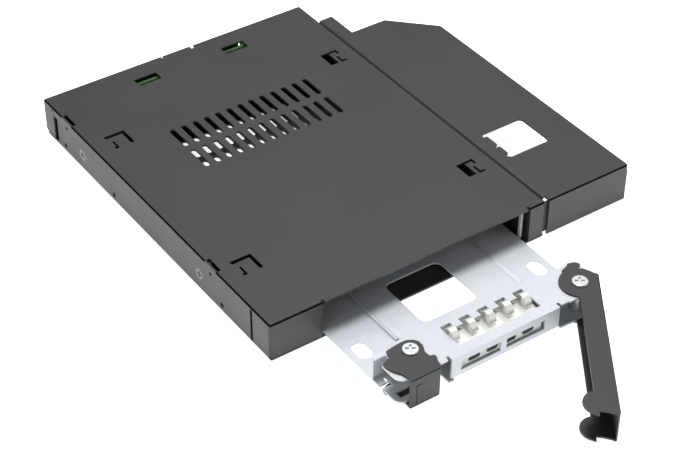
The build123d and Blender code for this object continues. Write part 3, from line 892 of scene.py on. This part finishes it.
@dataclass
class Chassis:
    """The fixed body: base, cover, wing, guides, boards and their fasteners.

    Lengths are in millimetres. A slit gives left, right, and its front and rear behind the
    front of the tongue that it frees.
    """

    width: float = 128.0
    depth: float = 129.0
    height: float = 12.7
    sheet: float = 0.6
    body_width: float = 96.2
    fold: float = 0.45
    fold_depth: float = 0.9
    open_left: float = 17.3
    open_right: float = 90.5
    notch: tuple[float, float] = (2.0, 6.2)
    notch_fronts: tuple[float, ...] = (27.3, 111.3)
    tongue_fronts: tuple[float, ...] = (22.1, 93.8)
    slits: tuple[tuple[float, float, float, float], ...] = (
        (5.5, 12.4, 5.55, 6.85),
        (11.2, 12.4, -0.1, 5.55),
        (6.5, 7.2, 0.7, 3.5),
        (5.8, 7.2, -0.3, 0.7),
        (87.9, 91.2, 5.75, 6.75),
        (90.35, 91.2, 4.4, 5.75),
        (89.0, 89.8, 0.7, 3.4),
        (89.0, 91.2, -0.2, 0.7),
    )
    seam: tuple[float, float, float, float] = (95.8, 96.3, 9.0, 117.8)
    seam_depth: float = 0.5
    wing_lap: Box = (96.5, 97.9, 0.75, 1.2, 0.9, 11.9)
    wing_corner: Box = (126.6, 127.75, 0.08, 0.9, 11.2, 12.45)
    wing_tip: Box = (127.4, 128.0, 0.0, 0.25, 11.0, 12.7)
    wing_tip_in: float = 0.35
    wing_fold: Box = (97.0, 128.0, 0.0, 1.5, 11.0, 12.7)
    wing_fold_rise: tuple[float, float] = (0.15, 0.985)
    guide_share: float = 0.6
    moulded: tuple[str, ...] = ("left_guide_rail", "right_guide_rail")
    sockets: tuple[str, ...] = ("drive_connector", "host_connector")
    boards: tuple[tuple[str, Finish], ...] = (
        ("backplane_board", GREEN_BOARD),
        ("status_board", SHADED_BOARD),
    )
    drive_contacts: tuple[tuple[str, int, float], ...] = (("power", 15, 32.46), ("data", 7, 58.09))
    drive_contact_run: tuple[tuple[float, float], ...] = (
        (118.35, 5.9),
        (116.8, 5.2),
        (115.4, 4.3),
        (113.9, 5.7),
    )
    contact: tuple[float, float] = (0.8, 0.2)
    contact_pitch: float = 1.27
    host_contacts: tuple[tuple[str, int, float, float], ...] = (
        ("power", 6, 1.0, 74.7),
        ("data", 7, 1.05, 83.2),
    )
    host_contact: Point = (0.55, 4.0, 0.16)
    host_contact_place: tuple[float, float] = (126.2, 4.92)
    chips: tuple[ChipRow, ...] = (
        ChipRow(
            "backplane_upper_chips", 14, 5.1, (1.6, 0.7, 0.9), chassis_point(20.3, 120.3, 10.2)
        ),
        ChipRow(
            "backplane_lower_chips", 10, 7.3, (1.0, 0.6, 0.55), chassis_point(19.4, 120.34, 8.5)
        ),
    )

    def contacts(self) -> None:
        """Grows the rows of contacts in both connectors."""
        width, thickness = self.contact
        for name, count, first in self.drive_contacts:
            BentRow(
                name=f"drive_{name}_contacts",
                count=count,
                pitch=self.contact_pitch,
                width=width,
                thickness=thickness,
                run=tuple(chassis_point(first, y, z) for y, z in self.drive_contact_run),
                steps=12,
            ).grow(Body.CHASSIS, GOLD_FLASH)
        for name, count, pitch, first in self.host_contacts:
            ChipRow(
                name=f"host_{name}_contacts",
                count=count,
                pitch=pitch,
                size=self.host_contact,
                first=chassis_point(first, *self.host_contact_place),
            ).grow(Body.CHASSIS, GOLD_FLASH)

    def base(self) -> None:
        """Dresses the base, its notches open beside the wall's upright tabs."""
        low = self.height - self.sheet
        inner, length = self.notch
        notches = [
            (self.sheet, inner, front, front + length, low, self.height + 1)
            for front in self.notch_fronts
        ]
        sheet_from("chassis_base", Body.CHASSIS, GREY_COAT, cuts=notches)

    def cover(self) -> None:
        """Dresses the cover: its slits as wide as the press left them, its folds rounded."""
        low, high = self.height - self.sheet - 1, self.height + 1
        cuts: list[Box] = [
            (left, right, front + start, front + end, low, high)
            for front in self.tongue_fronts
            for left, right, start, end in self.slits
        ]
        cuts.append((*self.seam, self.height - self.seam_depth, high))
        top = (self.height, self.height)
        folds = [
            (0, 0, 0, self.depth, *top),
            (0, self.open_left, 0, self.fold_depth, *top),
            (self.open_right, self.body_width, 0, self.fold_depth, *top),
            (self.body_width, self.body_width, 0, self.depth, *top),
        ]

        def soften(shape: bmesh.types.BMesh) -> None:
            """Rounds the folds."""
            # The rounded folds take the painted fold shade.
            round_folds(shape, folds_in(shape, folds), self.fold)

        sheet_from("top_cover", Body.CHASSIS, GREY_COAT, cuts=cuts, change=soften)

    def wing(self) -> None:
        """Dresses the wing, with the lap of its flange behind the gap at the seam."""
        low, high = self.wing_fold_rise

        def lap(shape: bmesh.types.BMesh) -> None:
            """Adds the lap, closes the outer corner where the flange meets the top, and paints
            shade on the front fold.
            """
            for vert in shape.verts:
                if inside(vert.co, self.wing_tip):
                    vert.co.x -= self.wing_tip_in * MM
            add_box(shape, self.wing_lap)
            add_box(shape, self.wing_corner)
            # The faces of the front fold take the darker coat: painted fold shade.
            for face in shape.faces:
                middle = face.calc_center_median()
                if low < face.normal.z < high and inside(middle, self.wing_fold):
                    face.material_index = 1

        sheet_from("side_wing", Body.CHASSIS, GREY_COAT, 0.06, change=lap)

    def guide(self) -> None:
        """Dresses the light guide, thinner than the room that it has."""
        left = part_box("light_guide")[0][0]

        def thin(shape: bmesh.types.BMesh) -> None:
            """Draws the right side in."""
            for vert in shape.verts:
                vert.co.x = left + (vert.co.x - left) * self.guide_share

        sheet_from("light_guide", Body.CHASSIS, MILKY_ACRYLIC, 0.08, change=thin)

    def build(self) -> None:
        """Builds and dresses every piece of the body."""
        self.base()
        self.cover()
        self.wing()
        for node in self.moulded + self.sockets:
            sheet_from(node, Body.CHASSIS, BLACK_NYLON, 0.15)
        for node, finish in self.boards:
            sheet_from(node, Body.CHASSIS, finish, 0.05)
        sheet_from("rail_screws", Body.CHASSIS, DULL_ZINC, 0.12)
        sheet_from("wing_rivets", Body.CHASSIS, BRIGHT_ZINC, 0.05)
        self.guide()
        self.contacts()
        for row in self.chips:
            row.grow(Body.CHASSIS, CHIP_CERAMIC)


@dataclass
class Tray:
    """The sliding tray with its front bracket, springs and posts, in millimetres when shut."""

    posts: tuple[str, ...] = ("lever_post", "latch_post")
    lever_pivot: tuple[float, float] = (82.5, 5.65)
    latch_pivot: tuple[float, float] = (27.1, 10.0)
    beads: tuple[tuple[float, float], ...] = ((32.5, 3.6), (75.5, 2.0))
    bead_depth: tuple[float, float] = (1.7, 1.55)
    bead_share: float = 0.35
    bead_rib: PressedRib = PressedRib(
        name="tray_bead_rib",
        start=tray_point(32.5, 23.0, 1.62),
        end=tray_point(32.5, 105.0, 1.62),
        width=1.5,
        height=0.62,
    )
    rib_fronts: Box = (40.0, 68.0, 8.6, 8.6, 9.4, 10.0)
    rib_in: float = 2.3
    recess: Point = (1.5, 0.36, 0.34)
    recess_turn: float = 55.0
    band_top: float = 8.36
    finger_count: int = 5
    finger_first: float = 40.7
    finger_pitch: float = 6.23
    finger_width: float = 2.2
    finger_strip: float = 0.25
    finger_run: tuple[tuple[float, float], ...] = (
        (11.9, 8.25),
        (12.4, 12.3),
        (7.8, 12.7),
        (7.2, 9.3),
    )

    def floor(self) -> None:
        """Dresses the floor, the flanks of its pressed beads sloped."""
        drawn, pressed = self.bead_depth

        def slope(shape: bmesh.types.BMesh) -> None:
            """Draws the bottom of each bead in."""
            for vert in shape.verts:
                if abs(vert.co.z - drawn * MM) > 2 * SLACK_MM * MM:
                    continue
                for middle, width in self.beads:
                    x = tray_point(middle, 0, 0)[0]
                    if abs(vert.co.x - x) < (width / 2 + 5 * SLACK_MM) * MM:
                        vert.co.x = x + (vert.co.x - x) * self.bead_share
                        vert.co.z = pressed * MM
                        break

        sheet_from("tray_floor", Body.TRAY, PLATED_SHEET, change=slope)
        self.bead_rib.grow(Body.TRAY, PLATED_SHEET)

    def bracket(self) -> None:
        """Dresses the bracket, its ribs between the fingers as short as the real ones."""

        def shorten(shape: bmesh.types.BMesh) -> None:
            """Draws the front ends of the ribs back."""
            for vert in shape.verts:
                if inside(vert.co, self.rib_fronts, TRAY_OUT):
                    vert.co.y += self.rib_in * MM

        sheet_from("front_bracket", Body.TRAY, PLATED_SHEET, change=shorten)

    def screw(self, node: str, x: float, y: float) -> None:
        """Dresses one screw, its cross recess wide and turned.

        Args:
            node: Name of its solid.
            x: Place of its axis across the tray.
            y: Place of its axis along the tray.
        """
        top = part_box(node)[1][2] / MM
        length, width, depth = self.recess
        bottom, above = top - depth, top + 1
        recess = [
            (x - length, x + length, y - width, y + width, bottom, above),
            (x - width, x + width, y - length, y + length, bottom, above),
        ]

        def turn(shape: bmesh.types.BMesh) -> None:
            """Turns the screw about its own axis."""
            spin = Matrix.Rotation(math.radians(self.recess_turn), 4, "Z")
            axis = Vector(tray_point(x, y, 0))
            bmesh.ops.rotate(shape, cent=axis, matrix=spin, verts=shape.verts)

        sheet_from(
            node, Body.TRAY, BRIGHT_ZINC, 0.06, change=turn, cuts=recess, cuts_out_mm=TRAY_OUT
        )

    def trim_band(self, shape: bmesh.types.BMesh) -> None:
        """Cuts the spring off above its band, where the grown fingers stand."""
        bmesh.ops.bisect_plane(
            shape,
            geom=shape.verts[:] + shape.edges[:] + shape.faces[:],
            plane_co=(0, 0, self.band_top * MM),
            plane_no=(0, 0, 1),
            clear_outer=True,
        )
        rims = [edge for edge in shape.edges if edge.is_boundary]
        bmesh.ops.holes_fill(shape, edges=rims)

    def fingers(self) -> None:
        """Grows the five grounding fingers on the strip that the solid gives."""
        sheet_from("emi_spring", Body.TRAY, SPRING_STRIP, 0.03, change=self.trim_band)
        BentRow(
            name="grounding_fingers",
            count=self.finger_count,
            pitch=self.finger_pitch,
            width=self.finger_width,
            thickness=self.finger_strip,
            run=tuple(tray_point(self.finger_first, y, z) for y, z in self.finger_run),
        ).grow(Body.TRAY, SPRING_STRIP)

    def build(self) -> None:
        """Builds and dresses every piece of the body."""
        self.floor()
        self.bracket()
        for node in self.posts:
            sheet_from(node, Body.TRAY, BRIGHT_ZINC, 0.06)
        self.screw("lever_screw", *self.lever_pivot)
        self.screw("latch_screw", *self.latch_pivot)
        self.fingers()
        Coil(
            name="latch_coil",
            turns=5.0,
            radius=3.1,
            wire=0.25,
            height=5.5,
            foot=tray_point(*self.latch_pivot, 2.6),
            node="latch_spring",
        ).grow(Body.TRAY, SPRING_STRIP)


@dataclass
class Arms:
    """The lever and the latch, each a folded channel, in millimetres."""

    fold: float = 0.4
    fold_length: float = 9.0
    web_height: float = 5.0

    def soften(self, shape: bmesh.types.BMesh) -> None:
        """Rounds the long edges where the web turns into the upper and lower flange."""
        heights = [vert.co.z for vert in shape.verts]
        levels = (max(heights), min(heights))

        def rises(face: bmesh.types.BMFace) -> bool:
            """Tells whether a face is tall enough to be the web."""
            ends = [vert.co.z for vert in face.verts]
            return max(ends) - min(ends) > self.web_height * MM

        edges = [
            edge
            for edge in shape.edges
            if edge.calc_length() > self.fold_length * MM
            and any(all(abs(vert.co.z - z) < SLACK_MM * MM for vert in edge.verts) for z in levels)
            and edge.calc_face_angle_signed(0.0) > FOLD_TURN
            and any(rises(face) for face in edge.link_faces)
        ]
        # The rounded folds take the painted fold shade.
        round_folds(shape, edges, self.fold)

    def build(self) -> None:
        """Builds and dresses both arms."""
        sheet_from("lever", Body.LEVER, GREY_COAT, change=self.soften)
        sheet_from("latch", Body.LATCH, GREY_COAT, change=self.soften)


@dataclass(frozen=True)
class Softbox:
    """One square area light that faces the rack, in metres and watts."""

    name: str
    place: Point
    size: float
    power: float

    def hang(self) -> None:
        """Hangs the light in the scene."""
        data = bpy.data.lights.new(self.name, "AREA")
        data.size = self.size
        data.energy = self.power
        lamp = bpy.data.objects.new(self.name, data)
        bpy.context.scene.collection.objects.link(lamp)
        lamp.location = self.place
        lamp.rotation_euler = (-Vector(self.place)).to_track_quat("-Z", "Y").to_euler()


@dataclass
class Studio:
    """Pale floor, soft lights and the camera at the photograph's angle."""

    azimuth: float = -34.95
    elevation: float = 38.74
    roll: float = 0.30
    distance: float = 0.5573
    target: Point = (-0.015, -0.026, 0.0)
    focal_px: float = 1873.6
    lights: tuple[Softbox, ...] = (
        Softbox("key_softbox", (-1.1, -0.5, 0.6), 0.9, 2.7),
        Softbox("fill_softbox", (0.9, -0.9, 0.4), 0.9, 4.0),
        Softbox("rear_softbox", (0.7, 0.75, 1.35), 1.0, 5.5),
        Softbox("top_softbox", (0.05, 0.12, 1.3), 0.45, 16.5),
    )
    floor_half: float = 3.0
    floor_drop: float = 0.0002
    floor_glow: float = 0.85
    air: float = 0.24

    def camera(self) -> None:
        """Places the camera and makes it the scene's own."""
        turn = math.radians(self.azimuth)
        rise = math.radians(self.elevation)
        back = Vector(
            (
                math.sin(turn) * math.cos(rise),
                -math.cos(turn) * math.cos(rise),
                math.sin(rise),
            )
        )
        right = Vector((math.cos(turn), math.sin(turn), 0))
        up = back.cross(right)
        tilt = math.radians(self.roll)
        side = math.cos(tilt) * right + math.sin(tilt) * up
        top = -math.sin(tilt) * right + math.cos(tilt) * up
        data = bpy.data.cameras.new("camera")
        data.sensor_width = SENSOR_MM
        data.lens = self.focal_px / IMAGE_WIDTH * SENSOR_MM
        data.clip_start = 0.01
        data.clip_end = 20
        eye = bpy.data.objects.new("camera", data)
        bpy.context.scene.collection.objects.link(eye)
        turned = Matrix((side, top, back)).transposed().to_4x4()
        eye.matrix_world = Matrix.Translation(Vector(self.target) + back * self.distance) @ turned
        bpy.context.scene.camera = eye

    def floor(self) -> None:
        """Lays the pale lit table that the rack stands on."""
        mesh = bpy.data.meshes.new("floor")
        half = self.floor_half
        corners = [(-half, -half, 0), (half, -half, 0), (half, half, 0), (-half, half, 0)]
        mesh.from_pydata(corners, [], [(0, 1, 2, 3)])
        plane = bpy.data.objects.new("floor", mesh)
        bpy.context.scene.collection.objects.link(plane)
        plane.location.z = -self.floor_drop
        material = bpy.data.materials.new("pale_floor")
        material.use_nodes = True
        shader = material.node_tree.nodes["Principled BSDF"]
        shader.inputs["Base Color"].default_value = linear("e8e8e8")
        shader.inputs["Roughness"].default_value = 0.9
        shader.inputs["Emission Color"].default_value = linear("ffffff")
        shader.inputs["Emission Strength"].default_value = self.floor_glow
        mesh.materials.append(material)

    def build(self) -> None:
        """Sets up the whole studio."""
        self.camera()
        self.floor()
        for light in self.lights:
            light.hang()
        world = bpy.data.worlds.new("studio_air")
        world.use_nodes = True
        air = world.node_tree.nodes["Background"]
        air.inputs["Color"].default_value = linear("ffffff")
        air.inputs["Strength"].default_value = self.air
        bpy.context.scene.world = world
        bpy.context.scene.view_settings.view_transform = "Standard"


def main() -> None:
    """Builds the studio and each sub-assembly."""
    logging.basicConfig(level=logging.INFO, format="%(name)s: %(message)s")
    Studio().build()
    Chassis().build()
    Tray().build()
    Arms().build()


if __name__ == "__main__":
    main()
